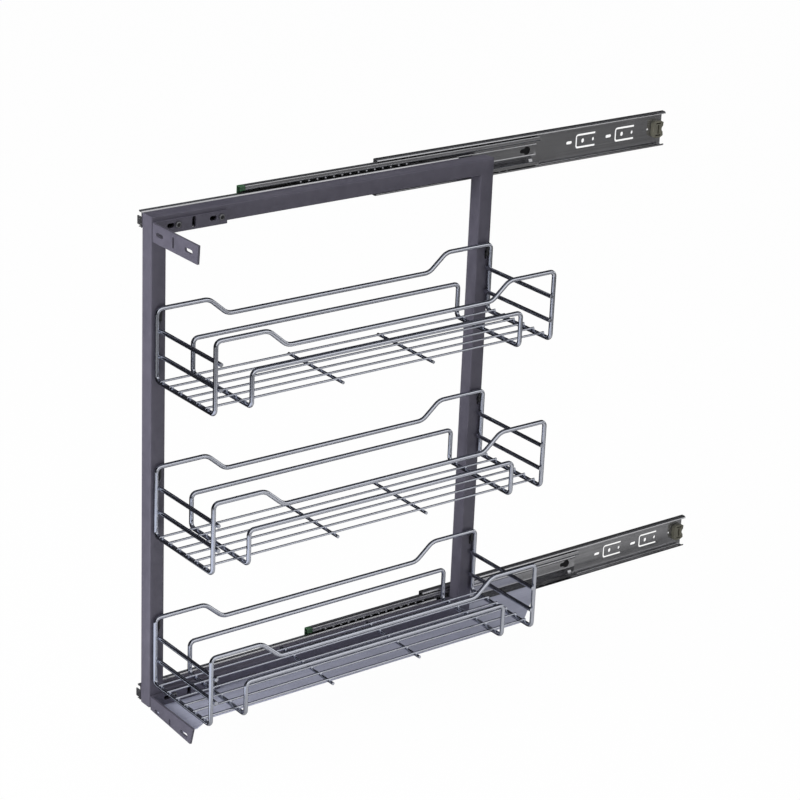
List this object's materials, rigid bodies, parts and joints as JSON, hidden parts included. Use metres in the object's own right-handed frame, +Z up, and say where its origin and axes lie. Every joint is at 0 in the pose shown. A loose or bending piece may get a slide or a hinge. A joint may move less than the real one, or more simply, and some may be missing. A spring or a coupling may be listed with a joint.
{
  "type": "pull-out larder unit",
  "caption": "Pull-out larder: a mitred square-tube frame on two three-section ball-bearing slides, with hooked wire baskets, a bottom pan and slotted door brackets.",
  "frame": {"origin": "on the flat back face of the upper slide's cabinet member, halfway along it, where it lies against the cabinet's side", "axes": "+X from the cabinet's side towards the baskets, +Y to the rear of the cabinet, +Z up"},
  "size_m": [0.1748, 0.963, 0.6949],
  "materials": {
    "grey_powder_coat": "satin purple-grey powder coat with a fine texture",
    "pan_steel": "smooth cold-rolled sheet with a bluish sheen",
    "chrome_wire": "bright chrome plate on round drawn wire",
    "zinc_steel": "clear-passivated zinc plate on roll-formed strip, with fine lengthwise lines",
    "black_cage_steel": "blackened, lightly oiled steel",
    "dark_screw_steel": "dark zinc-nickel plated screws",
    "green_plastic": "dark green moulded acetal",
    "olive_plastic": "olive-brown moulded acetal, slightly greasy"
  },
  "bodies": {
    "upper_cabinet_member": {"upper_outer_member": "zinc_steel", "upper_rear_stop": "olive_plastic"},
    "upper_outer_cage": {"upper_outer_cage": "black_cage_steel"},
    "upper_middle_member": {"upper_middle_member": "zinc_steel", "upper_middle_buffer": "green_plastic"},
    "upper_inner_cage": {"upper_inner_cage": "black_cage_steel"},
    "carriage": {"front_post": "grey_powder_coat", "rear_post": "grey_powder_coat", "top_rail": "grey_powder_coat", "bottom_rail": "grey_powder_coat", "bottom_pan": "pan_steel", "top_door_bracket": "grey_powder_coat", "top_door_bracket_screw_1": "dark_screw_steel", "top_door_bracket_screw_2": "dark_screw_steel", "bottom_door_bracket": "grey_powder_coat", "bottom_door_bracket_screw_1": "dark_screw_steel", "bottom_door_bracket_screw_2": "dark_screw_steel", "upper_inner_member": "zinc_steel", "upper_slide_screw_1": "dark_screw_steel", "upper_slide_screw_2": "dark_screw_steel", "lower_inner_member": "zinc_steel", "lower_slide_screw_1": "dark_screw_steel", "lower_slide_screw_2": "dark_screw_steel", "basket_1_rim": "chrome_wire", "basket_1_guard": "chrome_wire", "basket_1_floor": "chrome_wire", "basket_2_rim": "chrome_wire", "basket_2_guard": "chrome_wire", "basket_2_floor": "chrome_wire", "basket_3_rim": "chrome_wire", "basket_3_guard": "chrome_wire", "basket_3_floor": "chrome_wire"},
    "lower_inner_cage": {"lower_inner_cage": "black_cage_steel"},
    "lower_middle_member": {"lower_middle_member": "zinc_steel", "lower_middle_buffer": "green_plastic"},
    "lower_outer_cage": {"lower_outer_cage": "black_cage_steel"},
    "lower_cabinet_member": {"lower_outer_member": "zinc_steel", "lower_rear_stop": "olive_plastic"}
  },
  "joints": [
    {"name": "upper_outer_stage", "type": "slide", "parent": "upper_cabinet_member", "child": "upper_middle_member", "axis": [0, 1, 0], "range_m": [-0.047, 0.203]},
    {"name": "upper_outer_cage_roll", "type": "slide", "parent": "upper_cabinet_member", "child": "upper_outer_cage", "axis": [0, 1, 0], "range_m": [-0.0235, 0.1015]},
    {"name": "upper_inner_stage", "type": "slide", "parent": "upper_middle_member", "child": "carriage", "axis": [0, 1, 0], "range_m": [-0.123, 0.14]},
    {"name": "upper_inner_cage_roll", "type": "slide", "parent": "upper_middle_member", "child": "upper_inner_cage", "axis": [0, 1, 0], "range_m": [-0.0615, 0.07]},
    {"name": "lower_inner_stage", "type": "slide", "parent": "carriage", "child": "lower_middle_member", "axis": [0, 1, 0], "range_m": [-0.263, 0]},
    {"name": "lower_inner_cage_roll", "type": "slide", "parent": "carriage", "child": "lower_inner_cage", "axis": [0, 1, 0], "range_m": [-0.1315, 0]},
    {"name": "lower_outer_stage", "type": "slide", "parent": "lower_middle_member", "child": "lower_cabinet_member", "axis": [0, 1, 0], "range_m": [-0.188, 0.062]},
    {"name": "lower_outer_cage_roll", "type": "slide", "parent": "lower_middle_member", "child": "lower_outer_cage", "axis": [0, 1, 0], "range_m": [-0.094, 0.031]}
  ],
  "couplings": [
    {"joint": "upper_outer_cage_roll", "follows": "upper_outer_stage", "ratio": 0.5},
    {"joint": "upper_inner_cage_roll", "follows": "upper_inner_stage", "ratio": 0.5},
    {"joint": "lower_inner_cage_roll", "follows": "lower_inner_stage", "ratio": 0.5},
    {"joint": "lower_outer_cage_roll", "follows": "lower_outer_stage", "ratio": 0.5}
  ]
}
